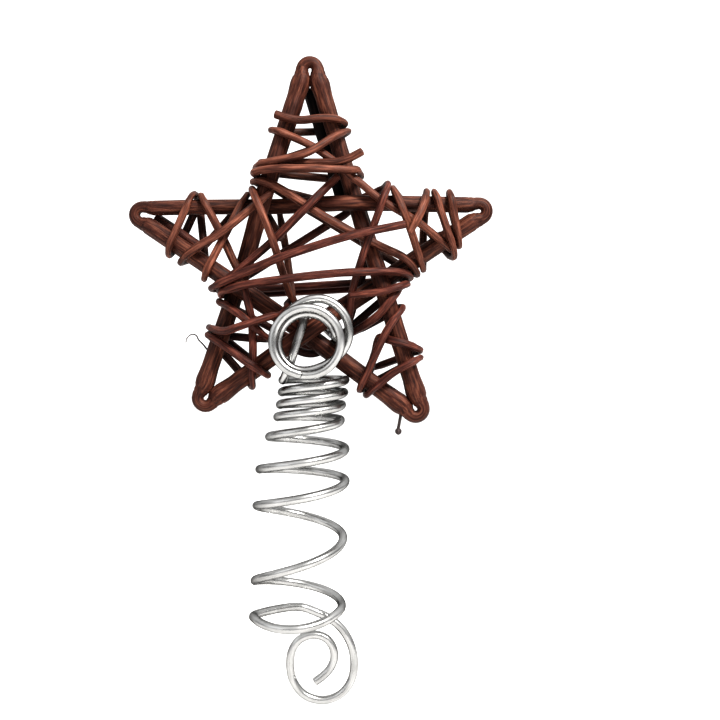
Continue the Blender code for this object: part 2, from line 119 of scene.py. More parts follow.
# The wrapping vines, in the order in which they were wound. A turn is a stick, the way along it in
# mm and any slack in mm, where the vine goes round the stick's outer edge, or an x and z in mm from
# the star's middle, where it goes through the star. Between turns it crosses front and back by
# turns, over the places named on its way.
WRAPS = {
    "wrap_lower_left_inner": ("front", [(-17.6, -7.3), ("over", -16.5, -11.6),
        ("over", -15.4, -16.9), ("over", -15.1, -25.6), ("E", 81.6), (-27.4, -22.6)]),
    "wrap_top": ("front", [(-9.1, 39.2), ("over", -3.7, 37.3), ("over", 5.8, 39.0), ("B", 19.3),
        ("A", 21.6), ("over", 1.2, 30.4), ("over", 11.5, 22.8), ("over", 18.8, 16.0),
        ("over", 28.8, 10.6), ("E", 14.6), (36.0, 8.0)]),
    "wrap_right": ("back", [(41.0, 9.0), ("C", 87.0, 0.2), ("E", 12.4), ("C", 82.6, 0.5),
        ("E", 14.8), ("C", 71.2, 1.4), ("over", 27.6, 7.8), ("E", 24.2), ("C", 81.2),
        ("over", 30.3, 11.8), (27.2, 6.4)]),
    "wrap_left": ("front", [(-19.6, -3.2), ("over", -20.9, -0.6), ("over", -23.2, 4.6),
        ("over", -27.0, 12.4), ("C", 18.0), ("D", 14.8), ("C", 16.6), ("D", 27.0),
        ("over", -23.4, 5.4), ("C", 31.6, 0.7), ("D", 18.6), ("over", -29.1, 3.8),
        ("over", -24.8, 5.7), ("over", -15.7, 13.2), (-10.4, 17.8)]),
    "wrap_neck": ("front", [(14.4, 28.4), ("over", 9.0, 25.4), ("A", 31.8), ("B", 20.9),
        ("over", 3.7, 30.4), ("over", -0.6, 27.2), ("A", 33.2), ("B", 34.2), ("A", 34.6),
        ("E", 25.8), ("over", 27.4, 0.0), ("over", 20.6, 2.7), ("over", 12.8, 6.5),
        ("over", 2.1, 12.4), ("over", -6.3, 18.0), ("A", 36.0), (9.0, 15.6)]),
    "wrap_rise": ("front", [(7.7, 22.4), ("over", 0.4, 14.3),
        ("over", -8.2, 5.7), ("over", -17.0, -1.9), ("D", 31.6), (12.5, 15.6)]),
    "wrap_right_shoulder": ("back", [(8.0, 16.0), ("C", 70.4, 1.2), ("over", 19.0, 12.1),
        ("over", 15.5, 3.2), ("over", 11.7, -8.9), (10.4, -18.6), (16.6, 3.0)]),
    "wrap_left_shoulder": ("back", [(-8.0, 6.0), ("C", 32.6, 0.8), ("over", -12.5, 12.1),
        ("over", -9.5, 4.6), ("over", -6.8, -4.8), (-4.6, -13.0), (-9.0, 14.6)]),
    "wrap_lower_right": ("back", [(-9.5, -22.5), ("over", 1.0, -27.0), ("E", 31.6),
        ("over", 19.3, -15.6), (11.4, -20.4), ("B", 72.4), ("over", 21.4, -19.1),
        ("over", 17.4, -27.7), ("D", 79.4), ("B", 87.2, 1.0), ("over", 23.3, -30.7), ("D", 81.6),
        (18.6, -21.6), ("over", 26.0, -23.1), ("B", 85.6, 0.8), (16.4, -30.4)]),
    "wrap_lower_left": ("back", [(10.5, -21.0), ("over", 0.5, -25.0), ("A", 70.6),
        ("over", -17.8, -15.9), (-11.0, -22.2), ("A", 80.4), ("over", -22.3, -24.2),
        ("over", -16.0, -28.7), ("E", 75.9), ("A", 78.8), ("over", -23.2, -20.2),
        ("over", -18.4, -18.8), (-7.6, -15.1), (-6.0, -11.0)]),
    "wrap_middle": ("front", [(25.8, 8.6), ("over", 12.8, 5.9), ("over", 4.5, 3.5),
        ("over", -7.6, -0.5), ("over", -15.7, -3.8), ("D", 30.6), ("E", 28.0),
        ("over", 25.2, -3.5), ("over", 8.5, -4.3), ("over", -2.2, -5.4), ("over", -15.7, -7.3),
        ("D", 32.6), ("E", 30.2), ("over", 23.3, -8.9), (11.2, -10.2)]),
}

# Two lengths that line the frame: the stick, where the length starts and ends along it, how far
# inside the stick it lies and how far behind
LININGS = {
    "lining_top": ("B", 4.5, 36.0, 3.4, 2.4),
    "lining_left": ("D", 3.0, 18.0, 2.9, 3.2),
}

# The wire: its spring, from the top down, its ring in front of the star and its end curl
WIRE_RADIUS = 1.2 * MM
SPRING_TOP_Z = 66.5 * MM
SPRING_TOP_X = 4.5 * MM
SPRING_TOP_RADIUS = 8.7 * MM
SPRING_LOW_RADIUS = 12.1 * MM
SPRING_TIGHT_TURNS = 3.0
SPRING_FLARE_TURNS = 2.2
FRONT_FALLS = (3.4, 3.5, 3.4, 4.7, 5.7, 6.9, 11.9, 2.6)
BACK_FALLS = (0.0, 0.0, 0.0, 0.8, 3.3, 3.2, 8.9, 6.9)
LAST_TURN_SAG = 2.0 * MM
RING_TURNS = (  # angle in degrees, middle x and z from the star's middle, radius, way forward
    (12.0, -0.2, -23.1, 7.9, 8.0),
    (250.0, -0.2, -23.1, 7.9, 9.8),
    (325.0, 2.2, -20.1, 8.8, 10.6),
    (450.0, 2.2, -20.1, 8.8, 11.6),
    (540.0, -0.1, -22.9, 8.9, 12.3),
    (1000.0, -0.1, -22.9, 8.9, 15.7),
)
HOOK = (  # from the spring's top, up through the star and round behind it to the ring
    (-6.9, -32.9, 4.2), (-5.3, -29.4, 6.4), (-2.9, -22.3, 6.6), (-1.3, -17.0, 5.7),
    (-0.4, -14.8, 1.2), (0.6, -14.6, -3.4), (3.2, -17.6, -6.6), (6.0, -20.4, -5.6),
    (7.4, -21.3, -1.0), (7.7, -21.4, 4.0),
)
CURL = (  # across the back of the spring's last turn and round in a curl: x, z
    (-0.1, 0.6), (5.1, -1.1), (8.9, -3.0), (12.3, -6.2), (14.6, -10.4), (15.5, -15.5),
    (14.6, -20.7), (11.4, -24.7), (6.2, -26.3), (1.1, -24.7), (-2.2, -20.5), (-3.0, -15.5),
    (-2.3, -11.6), (-0.1, -8.7), (3.8, -7.4), (7.3, -8.4), (9.4, -11.2), (9.7, -14.4),
    (8.3, -17.5), (5.9, -19.8), (3.5, -21.5),
)

# Two stray ends: a hooked fibre at the lower left and a stalk with a bud at the lower right
FIBRE_RADIUS = 0.25 * MM
FIBRE_BEHIND = 4.4
FIBRE = ((-29.0, -24.9), (-30.2, -23.4), (-31.6, -21.9), (-32.2, -20.8), (-33.5, -20.5),
         (-34.8, -21.6), (-35.1, -22.8))
STALK_RADIUS = 0.45 * MM
STALK = ((25.0, -43.9), (24.8, -45.0), (24.5, -46.6))
BUD_RADIUS = 0.95 * MM

# How finely the paths are worked out
FINE_STEP = 1.0 * MM
STATION_STEP = 3.5 * MM
END_INSET = 3.2 * MM
FRAME_STEPS = (90, 8)
LINING_POINTS = 7
HALF_TURN_STEPS = 8
RING_STEP = 22.5

# How the vines are drawn taut and pushed clear of each other
TAUT_ROUNDS = 60
GUIDE_PULL = 0.2
TURN_PULL = 0.8
LINING_PULL = 0.5
PRESS_REACH = 2.0 * MM
SETTLE_ROUNDS = 90
TAUTNESS = 0.35
HOME_SHARE = 0.5
PUSHES = 3
PAIRS_EVERY = 6
OWN_REACH = 6
LAST_ROUNDS = 24
LAST_TAUTNESS = 0.1

# The fine tubes: how closely they follow their paths, how many sides they have and how their
# ends are rounded off
TUBE_STEP = 0.5 * MM
LOOP_STEPS = (120, 16)
VINE_THINNING = 2
WIRE_THINNING = 3
FRAME_SIDES = 28
VINE_SIDES = 18
WIRE_SIDES = 18
STRAY_SIDES = 10
CAP_RINGS = 3
CAP_OPENING = 0.35
CAP_LENGTH = 0.35
SEAM_LENGTH = 8.0 * MM
ALONG_Y = 0.9

# How much fuller the bark is than the solids, also beside the eyes at some of the tips
BARK_FULLNESS = 1.02
FRAME_FULLNESS = 1.03
EYE_TIPS = ("top", "low_left", "low_right")
EYE_FULLNESS = 0.13
EYE_PLACE = 5.0 * MM
EYE_REACH = 3.6 * MM

# The relief of the bark, in shares of a vine's radius: the vine is flattened, its ridges drift
# round it along its length, and knots stand out at a distance from each other
GRAIN_SEED = 11
GRAIN_SHIFT = 5.0
FLATTENING = 0.05
RIDGES = 5
RIDGE_DEPTH = 0.035
FINE_RIDGE_DEPTH = 0.4 * RIDGE_DEPTH
WANDER_DEPTH = 0.02
DRIFT_LENGTHS = (9.0 * MM, 30.0 * MM)
DRIFT_TURNS = (0.9, 0.6)
FLAT_DRIFT = 0.5
RIDGE_DRIFT = 2.0
FINE_RIDGE_DRIFT = -3.0
KNOT_SPACING = 34.0 * MM
KNOT_LENGTH = 1.6 * MM
KNOT_RISE = 0.05
KNOT_SIDES = (0.6, 0.4)

# The stray ends: how thin the fibre gets, how far the stalk goes into the bark in x and z, and
# the bud, whose first and last rings lie close to its poles
FIBRE_END = 0.6
STALK_SINK = (0.2, 1.4)
BUD_SINK = 0.9 * BUD_RADIUS
BUD_POLE = 0.97
BUD_LEVELS = 13
BUD_SIDES = 14

# The bark of each length of vine: warm and red ones, and a near-black one whose darkness is painted
# shade, for the top lining
TONES = {
    "lining_top": "painted shade vine", "lining_left": "red vine", "wrap_lower_left_inner": "red vine",
    "wrap_top": "warm vine", "wrap_right": "warm vine", "wrap_left": "warm vine",
    "wrap_neck": "warm vine", "wrap_rise": "red vine", "wrap_right_shoulder": "red vine",
    "wrap_left_shoulder": "warm vine", "wrap_lower_right": "red vine",
    "wrap_lower_left": "red vine", "wrap_middle": "red vine",
}
BARKS = {  # dark, middle and light colour, and roughness
    "frame bark": ((0.007, 0.0025, 0.0025), (0.060, 0.021, 0.014), (0.175, 0.076, 0.048), 0.54),
    "warm vine": ((0.014, 0.005, 0.004), (0.090, 0.035, 0.023), (0.22, 0.098, 0.067), 0.50),
    "red vine": ((0.009, 0.003, 0.003), (0.064, 0.0215, 0.016), (0.175, 0.068, 0.048), 0.50),
    # painted shade: a near-black copy of the vine bark for the top lining, which lies in shade
    "painted shade vine": ((0.004, 0.002, 0.002), (0.014, 0.006, 0.005), (0.036, 0.016, 0.013), 0.58),
    "grey fibre": ((0.10, 0.09, 0.09), (0.24, 0.23, 0.23), (0.40, 0.39, 0.39), 0.6),
    "dark bud": ((0.02, 0.016, 0.015), (0.06, 0.05, 0.05), (0.14, 0.12, 0.12), 0.55),
}

# The noises of bark and wire: how far each is drawn out along the grain, its scale per mm, its
# detail and its roughness. Colours stand beside their places on a ramp.
STREAKS = (0.09, 1.7, 5.0, 0.62)
FURROWS = (0.04, 4.2, 3.0, 0.5)
PATCHES = (0.30, 0.35, 2.0, 0.5)
STREAK_STOPS = (0.26, 0.49, 0.72)
PATCH_TINTS = ((0.30, (0.66, 0.60, 0.60)), (0.72, (1.18, 1.10, 1.04)))
FURROW_TINTS = ((0.30, (0.35, 0.30, 0.30)), (0.46, (1.0, 1.0, 1.0)))
FURROW_STRENGTH = 0.6
SHEEN_SPREAD = (-0.1, 0.14)
BARK_BUMP = (0.55, 0.25 * MM)
BARK_SPECULAR = 0.16
DRAW_LINES = (0.02, 5.0, 3.0, 0.55)
WIRE_CLOUDS = (0.5, 0.4, 2.0, 0.5)
WIRE_COLOURS = ((0.3, (0.32, 0.32, 0.315)), (0.7, (0.45, 0.45, 0.445)))
DRAW_TINTS = ((0.34, (0.74, 0.73, 0.73)), (0.52, (1.0, 1.0, 1.0)))
DRAW_STRENGTH = 0.8
WIRE_POLISH = (0.20, 0.36)
WIRE_BUMP = (0.08, 0.03 * MM)
WIRE_EDGE = (0.16, 0.16, 0.16, 1.0)

# Painted shade: the bark is darker deep inside the star, as if shaded by the layers in front of it.
# Places on the way from DEPTH in front of the star's plane to DEPTH behind it, and how dark it is
# there
DEPTH = 10.0 * MM
PAINTED_DEPTH_SHADE = ((0.22, 1.0), (0.48, 0.82), (0.64, 0.42), (0.76, 0.46), (0.90, 0.95))

# The room: the camera stands where the photograph was taken from, over pale paper
CAMERA_PLACE = (0.0172, -0.277, 0.072)
CAMERA_CLIP = 0.01
FOCAL_PIXELS = 1000.0
PICTURE_PIXELS = 720.0
SENSOR = 36.0
FLOOR_SIZE = 6.0
FLOOR_DROP = 0.004
PAPER = (0.80, 0.795, 0.79)
PAPER_ROUGHNESS = 0.7
FLECKS = (30.0, 2.0, 0.5)
FLECK_STOPS = (0.3, 0.7)
FLECK_SHADE = 0.985
WORLD_STRENGTH = 1.03
WALLS = (  # from in front of the star, through its sides, to behind it
    (0.0, (0.42, 0.42, 0.43)), (0.30, (0.36, 0.36, 0.37)), (0.50, (0.30, 0.30, 0.31)),
    (0.68, (0.62, 0.62, 0.63)), (0.80, (1.0, 1.0, 1.0)),
)
CEILING = ((0.12, (0.0, 0.0, 0.0)), (0.40, (1.0, 1.0, 1.0)))  # by height
LIGHTS = {  # place, size, power and colour
    "window": ((0.34, -0.44, 0.66), (0.20, 0.16), 11.5, (1.0, 0.985, 0.96)),
    "fill": ((-0.6, -0.5, 0.35), (0.6, 0.6), 0.8, (0.97, 0.98, 1.0)),
}


# #### paths, as in the solids' source

def ease(t):
    t = min(1.0, max(0.0, t))
    return t * t * (3.0 - 2.0 * t)


def place(x, z, y=0.0):
    """A point from its place in mm beside and above the star's middle and in front of it."""
    return np.array((STAR_X + x * MM, -y * MM, STAR_Z + z * MM))


def tip_direction(name):
    angle = math.radians(TIPS[name][1])
    return np.array((math.cos(angle), 0.0, math.sin(angle)))


def bend_middle(name):
    reach = TIPS[name][0]
    return place(0.0, 0.0) + tip_direction(name) * (reach - BEND_RADIUS)


def stick_line(first, second):
    """A stick's start, direction, length and outward side, between the bends at its two tips."""
    start, end = bend_middle(first), bend_middle(second)
    length = np.linalg.norm(end - start)
    along = (end - start) / length
    outward = np.array((along[2], 0.0, -along[0]))
    if np.dot(outward, (start + end) / 2 - place(0.0, 0.0)) < 0.0:
        outward = -outward
    return start + outward * BEND_RADIUS, along, length, outward


def stick_between(first, second):
    return next(stick for stick in STICKS.values() if {first, second} == set(stick[:2]))


def on_stick(first, second, way):
    """The point that lies a way along a stick, its radius there and its outward side."""
    start, along, length, outward = stick_line(first, second)
    full, bow = stick_between(first, second)[2:]
    share = min(1.0, max(0.0, way / length))
    from_tip = min(share, 1.0 - share) * length / TIP_TAPER
    radius = TIP_RADIUS + (full - TIP_RADIUS) * ease(from_tip)
    follows = TRAVEL[TRAVEL.index(second) - 1] == first
    depth = np.array((0.0, weave(share if follows else 1.0 - share), 0.0))
    inwards = bow * math.sin(math.pi * share) + SWELL_INWARDS * (radius - TIP_RADIUS)
    return start + along * way - outward * inwards + depth, radius, outward


def weave(share):
    """How far behind the star's plane a stick is, at a share of the way along it."""
    depth = FRAME_RADIUS + FRAME_GAP / 2
    second = 1.0 - FIRST_CROSSING
    if share < FIRST_CROSSING:
        return -depth * ease(share / FIRST_CROSSING)
    if share > second:
        return depth * ease((1.0 - share) / FIRST_CROSSING)
    return depth * (2.0 * ease((share - FIRST_CROSSING) / (second - FIRST_CROSSING)) - 1.0)


def frame_path(stick_steps, bend_steps):
    """The closed line of the frame vine, and its radius at each point."""
    points, radii = [], []
    for k, first in enumerate(TRAVEL):
        second = TRAVEL[(k + 1) % len(TRAVEL)]
        third = TRAVEL[(k + 2) % len(TRAVEL)]
        length, outward = stick_line(first, second)[2:]
        for i in range(stick_steps):
            middle, radius, _ = on_stick(first, second, length * i / stick_steps)
            points.append(middle)
            radii.append(radius)
        next_outward = stick_line(second, third)[3]
        turn_start = math.atan2(outward[2], outward[0])
        turn = (math.atan2(next_outward[2], next_outward[0]) - turn_start) % (2.0 * math.pi)
        for i in range(bend_steps):
            angle = turn_start + turn * i / bend_steps
            side = np.array((math.cos(angle), 0.0, math.sin(angle)))
            points.append(bend_middle(second) + side * BEND_RADIUS)
            radii.append(TIP_RADIUS)
    return np.array(points), np.array(radii)


def smooth_line(points, step):
    """A smooth line through the points, with a point every step."""
    points = np.array(points)
    ends = np.vstack((2 * points[0] - points[1], points, 2 * points[-1] - points[-2]))
    fine = []
    for i in range(1, len(ends) - 2):
        p0, p1, p2, p3 = ends[i - 1:i + 3]
        k0, k1, k2 = (math.sqrt(np.linalg.norm(b - a)) + 1e-9
                      for a, b in ((p0, p1), (p1, p2), (p2, p3)))
        m1 = (p2 - p1) + k1 * ((p1 - p0) / k0 - (p2 - p0) / (k0 + k1))
        m2 = (p2 - p1) + k1 * ((p3 - p2) / k2 - (p3 - p1) / (k1 + k2))
        count = max(2, int(math.ceil(np.linalg.norm(p2 - p1) / (step / 4))))
        for t in np.linspace(0.0, 1.0, count, endpoint=False):
            fine.append((2 * t**3 - 3 * t**2 + 1) * p1 + (t**3 - 2 * t**2 + t) * m1
                        + (3 * t**2 - 2 * t**3) * p2 + (t**3 - t**2) * m2)
    fine.append(points[-1])
    return even_line(fine, step)


def even_line(points, step):
    points = np.array(points)
    run = np.concatenate(((0.0,), np.cumsum(np.linalg.norm(np.diff(points, axis=0), axis=1))))
    count = max(2, int(round(run[-1] / step)) + 1)
    marks = np.linspace(0.0, run[-1], count)
    return np.column_stack([np.interp(marks, run, points[:, k]) for k in range(3)])


def turn_place(turn, passed):
    """Where a wrap turns: its place outside the stick's edge, and the side that it faces."""
    if turn[0] not in STICKS:
        return place(*turn[-2:]), np.zeros(3)
    middle, tapered, outward = on_stick(*STICKS[turn[0]][:2], turn[1] * MM - BEND_RADIUS)
    clear = tapered + TURN_RADIUS + WRAP_GAP + sum(turn[2:]) * MM
    if any(stick == turn[0] and abs(mark - turn[1]) < PILE_WIDTH for stick, mark in passed):
        clear += PILE_SLACK
    passed.append(turn[:2])
    return middle + outward * clear, outward


def pass_height(a, b, side, laid, radius):
    """How far from the star's plane a new piece from a to b lies, to clear what is laid already."""
    height = 0.0
    line = b - a
    span = np.dot(line, line) + 1e-12
    for other, other_radii in laid:
        reach = radius + other_radii + WRAP_GAP
        share = np.clip(((other - a) @ line) / span, 0.0, 1.0)
        apart = np.linalg.norm((other - a - share[:, None] * line)[:, (0, 2)], axis=1)
        close = apart < reach
        if close.any():
            top = side * other[close, 1] + np.sqrt(reach[close]**2 - apart[close]**2)
            height = max(height, float(top.max()))
    return height


def pass_stations(guide, side, laid, radius):
    """Places along a new pass over its guide, drawn taut over what is laid already."""
    guide = even_line(guide, FINE_STEP)
    guide[:, 1] = 0.0
    inset = max(1, min(int(END_INSET / FINE_STEP), len(guide) // 4))
    stations = even_line(guide[inset:-inset], STATION_STEP)
    heights = [pass_height(a, b, side, laid, radius) for a, b in zip(stations[:-1], stations[1:])]
    lift = np.array([max(heights[max(k - 1, 0):k + 1]) for k in range(len(stations))])
    for _ in range(TAUT_ROUNDS):
        lift[1:-1] = np.maximum(lift[1:-1], (lift[:-2] + lift[2:]) / 2)
    stations[:, 1] = side * lift
    return stations


def wrap_route(first_side, turns, laid, passed, radius):
    """The first line of a wrapping vine, over and under the star from turn to turn."""
    side = -1.0 if first_side == "front" else 1.0
    places = [turn_place(turn, passed) for turn in turns]
    stops = [k for k, turn in enumerate(turns) if turn[0] != "over"]
    points, pull = [], []
    for start, end in zip(stops[:-1], stops[1:]):
        stations = pass_stations([p for p, _ in places[start:end + 1]], side, laid, radius)
        line = even_line(stations, FINE_STEP)
        laid.append((line, np.full(len(line), radius)))
        if start == 0:
            points.append(stub_end(*places[0], stations[0]))
            pull.append(1.0)
        points += list(stations)
        pull += [GUIDE_PULL] * len(stations)
        points.append(places[end][0] if end != stops[-1] else stub_end(*places[end], stations[-1]))
        pull.append(TURN_PULL)
        side = -side
    return points, pull


def stub_end(edge, outward, station):
    """Where a vine ends: level with its last station, and within the edge that it ends at."""
    return edge - outward * STUB_INSET + np.array((0.0, station[1], 0.0))


def settle(lines, radii, homes, pulls, fixed, fixed_radii):
    """Draws each line taut while it keeps clear of itself, of the others and of what is fixed."""
    counts = [len(line) for line in lines]
    starts = np.concatenate(((0,), np.cumsum(counts)))
    points = np.vstack(lines + [fixed])
    home = np.vstack(homes)
    pull = np.concatenate(pulls)[:, None]
    total = starts[-1]
    radius = np.concatenate(radii + [fixed_radii])
    owner = np.concatenate([np.full(n, k) for k, n in enumerate(counts)]
                           + [np.full(len(fixed), -1)])
    inner = np.ones(total, bool)
    inner[starts[:-1]] = False
    inner[starts[1:] - 1] = False
    index = np.where(inner)[0]
    flat = np.array((1.0, 0.0, 1.0))
    reach = 2.0 * FRAME_RADIUS + WRAP_GAP
    for step in range(SETTLE_ROUNDS):
        if step % PAIRS_EVERY == 0:
            pairs = close_pairs(points, total, owner, reach)
        middle = (points[index - 1] + points[index + 1]) / 2
        points[index] += TAUTNESS * (middle - points[index])
        points[:total] += flat * pull * HOME_SHARE * (home - points[:total])
        for _ in range(PUSHES):
            push_apart(points, pairs, radius, total)
    for _ in range(LAST_ROUNDS):
        middle = (points[index - 1] + points[index + 1]) / 2
        points[index] += LAST_TAUTNESS * (middle - points[index])
        push_apart(points, close_pairs(points, total, owner, reach), radius, total)
    return [points[a:b] for a, b in zip(starts[:-1], starts[1:])]


def close_pairs(points, total, owner, reach):
    tree = KDTree(len(points))
    for k, point in enumerate(points):
        tree.insert(point, k)
    tree.balance()
    pairs = []
    for k in range(total):
        for _, other, _ in tree.find_range(points[k], reach):
            same = owner[other] == owner[k]
            if other > k and not (same and other - k < OWN_REACH):
                pairs.append((k, other))
    return np.array(pairs)


def push_apart(points, pairs, radius, total):
    a, b = pairs[:, 0], pairs[:, 1]
    gap = points[a] - points[b]
    apart = np.linalg.norm(gap, axis=1) + 1e-12
    short = radius[a] + radius[b] + WRAP_GAP - apart
    hit = short > 0.0
    a, b = a[hit], b[hit]
    push = gap[hit] * (short[hit] / apart[hit])[:, None]
    free = (b < total)[:, None]
    moves = np.zeros_like(points)
    counts = np.zeros((len(points), 1))
    np.add.at(moves, a, np.where(free, push * 0.5, push))
    np.add.at(moves, b, np.where(free, -push * 0.5, 0.0))
    np.add.at(counts, a, 1.0)
    np.add.at(counts, b, 1.0)
    points += moves / np.maximum(counts, 1.0)


def lining_route(stick, start_way, end_way, inside, behind):
    points = []
    for way in np.linspace(start_way * MM, end_way * MM, LINING_POINTS):
        middle, _, outward = on_stick(*STICKS[stick][:2], way)
        points.append(middle - outward * inside * MM + np.array((0.0, behind * MM, 0.0)))
    return points


def vine_lines(wire):
    """The settled lines of the lining and the wrapping vines and their radii, by name."""
    frame, frame_radii = frame_path(*FRAME_STEPS)
    laid = [(frame, frame_radii)]
    passed, lines, radii, homes, pulls = [], [], [], [], []
    for name, lining in LININGS.items():
        line = smooth_line(lining_route(*lining), FINE_STEP)
        laid.append((line, np.full(len(line), LINING_RADIUS)))
        add_line(lines, homes, pulls, line, np.full(len(line), LINING_PULL))
        radii.append(np.full(len(line), LINING_RADIUS))
    for name, (first_side, turns) in WRAPS.items():
        points, pull = wrap_route(first_side, turns, laid, passed, VINE_RADIUS)
        line = smooth_line(points, FINE_STEP)
        nearest = [int(np.argmin(np.linalg.norm(np.array(points) - p, axis=1))) for p in line]
        line_pull = np.array([pull[k] for k in nearest])
        add_line(lines, homes, pulls, line, line_pull)
        radii.append(vine_radii(line_pull == TURN_PULL))
    fixed = np.vstack((frame, wire))
    fixed_radii = np.concatenate((frame_radii, np.full(len(wire), WIRE_RADIUS)))
    settled = settle(lines, radii, homes, pulls, fixed, fixed_radii)
    return dict(zip(list(LININGS) + list(WRAPS), zip(settled, radii)))


def vine_radii(turning):
    """A wrap's radius along it: the vine is pressed thinner where it turns round a stick."""
    reach = max(1, int(round(PRESS_REACH / FINE_STEP)))
    thin = np.convolve(np.pad(turning.astype(float), reach, "edge"),
                       np.ones(2 * reach + 1), "valid")
    thin = np.minimum(thin / reach, 1.0)
    return VINE_RADIUS + (TURN_RADIUS - VINE_RADIUS) * thin


def add_line(lines, homes, pulls, line, pull):
    lines.append(line)
    homes.append(line.copy())
    pulls.append(pull)


def spring_path():
    """The spring's line, from its top left, with its turns clockwise as seen from above."""
    levels, level = [SPRING_TOP_Z], SPRING_TOP_Z
    for back, front in zip(BACK_FALLS, FRONT_FALLS):
        for fall in (back, front):
            level -= fall * MM
            levels.append(level)
    halves = len(levels) - 1
    points = []
    for k in range(halves * HALF_TURN_STEPS + 1):
        half = k / HALF_TURN_STEPS
        angle = math.pi * (1.0 + half)
        turn = half / 2
        flare = ease((turn - SPRING_TIGHT_TURNS) / SPRING_FLARE_TURNS)
        radius = SPRING_TOP_RADIUS + (SPRING_LOW_RADIUS - SPRING_TOP_RADIUS) * flare
        axis = SPRING_TOP_X * (1.0 - ease(turn / (halves / 2)))
        z = np.interp(half, range(len(levels)), levels)
        if half > halves - 1:
            z -= LAST_TURN_SAG * math.sin(math.pi * half) ** 2
        points.append((axis + radius * math.cos(angle), -radius * math.sin(angle), z))
    return points


def ring_path():
    angles = [turn[0] for turn in RING_TURNS]
    points = []
    for angle in np.arange(angles[0], angles[-1] + 1.0, RING_STEP):
        x, z, radius, forward = (np.interp(angle, angles, [turn[k] for turn in RING_TURNS])
                                 for k in range(1, 5))
        a = math.radians(angle)
        points.append(place(x + radius * math.cos(a), z + radius * math.sin(a), forward))
    return points


def wire_path():
    """The whole wire: ring, hook round the star, spring and end curl."""
    hook = [place(*point) for point in HOOK]
    spring = spring_path()
    curl = [(x * MM, SPRING_LOW_RADIUS, z * MM) for x, z in CURL]
    return smooth_line(ring_path()[::-1] + hook[::-1] + spring + curl, FINE_STEP / 2)


# #### bark on tubes

def side_frames(points, closed):
    """Directions along a line and two across it, turned as little as can be on the way."""
    ahead = np.roll(points, -1, axis=0) - np.roll(points, 1, axis=0)
    if not closed:
        ahead[0] = points[1] - points[0]
        ahead[-1] = points[-1] - points[-2]
    ahead /= np.linalg.norm(ahead, axis=1)[:, None]
    side = np.array((0.0, -1.0, 0.0)) if abs(ahead[0][1]) < ALONG_Y else np.array((1.0, 0.0, 0.0))
    across = np.zeros_like(points)
    for k, way in enumerate(ahead):
        side = side - way * np.dot(side, way)
        side /= np.linalg.norm(side)
        across[k] = side
    return ahead, across, np.cross(ahead, across)


def closing_twist(ahead, across, up):
    """The angle by which the sides have turned when a closed line comes back to its start."""
    last = across[-1] - ahead[0] * np.dot(across[-1], ahead[0])
    return math.atan2(np.dot(last, up[0]), np.dot(last, across[0]))


def bark_relief(run, angles, chance):
    """How far the bark stands above or below a round tube, as a share of its radius."""
    phases = chance.uniform(0.0, 2.0 * math.pi, 8)
    lengths = chance.uniform(*DRIFT_LENGTHS, 4)
    s, a = run[:, None], angles[None, :]
    drift = (DRIFT_TURNS[0] * np.sin(s / lengths[0] + phases[0])
             + DRIFT_TURNS[1] * np.sin(s / lengths[1] + phases[1]))
    relief = FLATTENING * np.cos(2.0 * (a + phases[2]) + FLAT_DRIFT * drift)
    relief = relief + RIDGE_DEPTH * np.cos(RIDGES * a + RIDGE_DRIFT * drift + phases[3])
    relief = relief + FINE_RIDGE_DEPTH * np.cos((2 * RIDGES + 1) * a + FINE_RIDGE_DRIFT * drift
                                                + phases[4])
    relief = relief + WANDER_DEPTH * np.sin(s / lengths[2] + phases[5]) * np.cos(a + phases[6])
    offset = chance.uniform(0.0, KNOT_SPACING)
    from_knot = (s + offset + KNOT_SPACING / 2) % KNOT_SPACING - KNOT_SPACING / 2
    one_side = KNOT_SIDES[0] + KNOT_SIDES[1] * np.cos(a + phases[7])
    return relief + KNOT_RISE * np.exp(-(from_knot / KNOT_LENGTH) ** 2) * one_side


def tube_mesh(name, points, radii, sides, chance=None, closed=False):
    """A fine tube along the points with rounded ends, its grain running along it."""
    ahead, across, up = side_frames(points, closed)
    run = np.concatenate(((0.0,), np.cumsum(np.linalg.norm(np.diff(points, axis=0), axis=1))))
    angles = np.linspace(0.0, 2.0 * math.pi, sides, endpoint=False)
    relief = np.zeros((len(points), sides)) if chance is None else bark_relief(run, angles, chance)
    turned = np.zeros(len(points))
    if closed:
        turned = -closing_twist(ahead, across, up) * run / run[-1]
        fade = np.clip((run[-1] - run) / SEAM_LENGTH, 0.0, 1.0)[:, None]
        relief = relief * fade + relief[:1] * (1.0 - fade)
    theta = angles[None, :] + turned[:, None]
    spread = across[:, None] * np.cos(theta)[..., None] + up[:, None] * np.sin(theta)[..., None]
    rings = points[:, None] + spread * (radii[:, None] * (1.0 + relief))[..., None]
    marks = np.stack(np.broadcast_arrays(run[:, None], radii[:, None] * np.cos(angles),
                                         radii[:, None] * np.sin(angles)), axis=-1)
    if not closed:
        rings, marks = add_caps(rings, marks, points, ahead, radii)
    return mesh_from_rings(name, rings, marks, closed, chance)


def add_caps(rings, marks, points, ahead, radii):
    """Rounds both ends off with a few shrinking rings."""
    heads, tails, head_marks, tail_marks = [], [], [], []
    for k in range(CAP_RINGS):
        angle = (k + 1) / (CAP_RINGS + CAP_OPENING) * math.pi / 2
        shrink, step = math.cos(angle), math.sin(angle) * CAP_LENGTH
        heads.append(points[0] + (rings[0] - points[0]) * shrink - ahead[0] * radii[0] * step)
        tails.append(points[-1] + (rings[-1] - points[-1]) * shrink + ahead[-1] * radii[-1] * step)
        head_marks.append(marks[0])
        tail_marks.append(marks[-1])
    return (np.concatenate((np.array(heads[::-1]), rings, np.array(tails))),
            np.concatenate((np.array(head_marks[::-1]), marks, np.array(tail_marks))))


